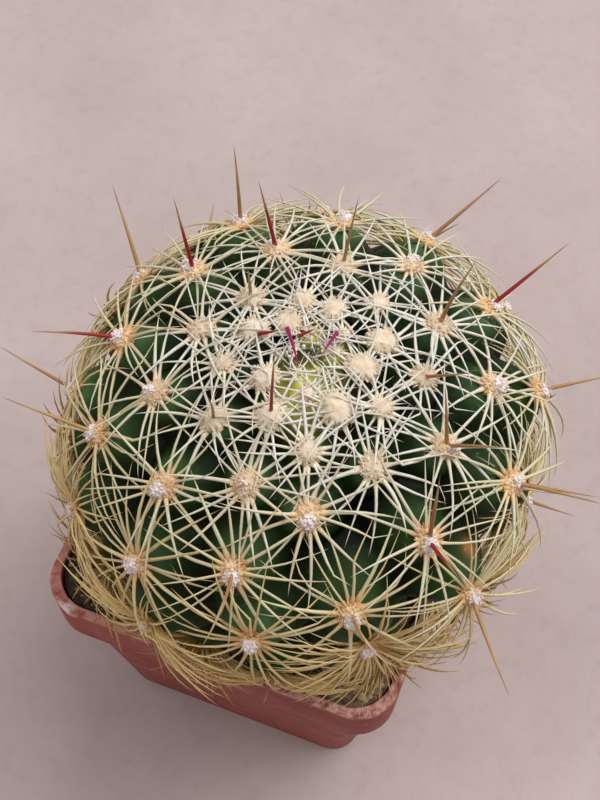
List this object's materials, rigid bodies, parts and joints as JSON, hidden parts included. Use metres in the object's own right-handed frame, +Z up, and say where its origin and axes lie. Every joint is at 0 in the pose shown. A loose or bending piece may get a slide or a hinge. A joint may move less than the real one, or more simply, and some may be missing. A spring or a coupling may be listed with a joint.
{
  "type": "potted glory of texas cactus",
  "caption": "Globular cactus with spiralled tubercles and long needle spines, growing in a small square plastic pot of gritty mix.",
  "frame": {"origin": "centre of the pot's flat underside", "axes": "+Z up through the pot, X and Y along the sides of the square pot"},
  "size_m": [0.0965, 0.0931, 0.1275],
  "materials": {
    "pot_plastic": "matte",
    "potting_mix": "matte",
    "cactus_flesh": "satin",
    "radial_spines": "satin",
    "central_spines": "satin",
    "areole_wool": "matte"
  },
  "bodies": {
    "root": {"pot": "pot_plastic", "soil": "potting_mix", "cactus": "cactus_flesh"}
  },
  "joints": []
}
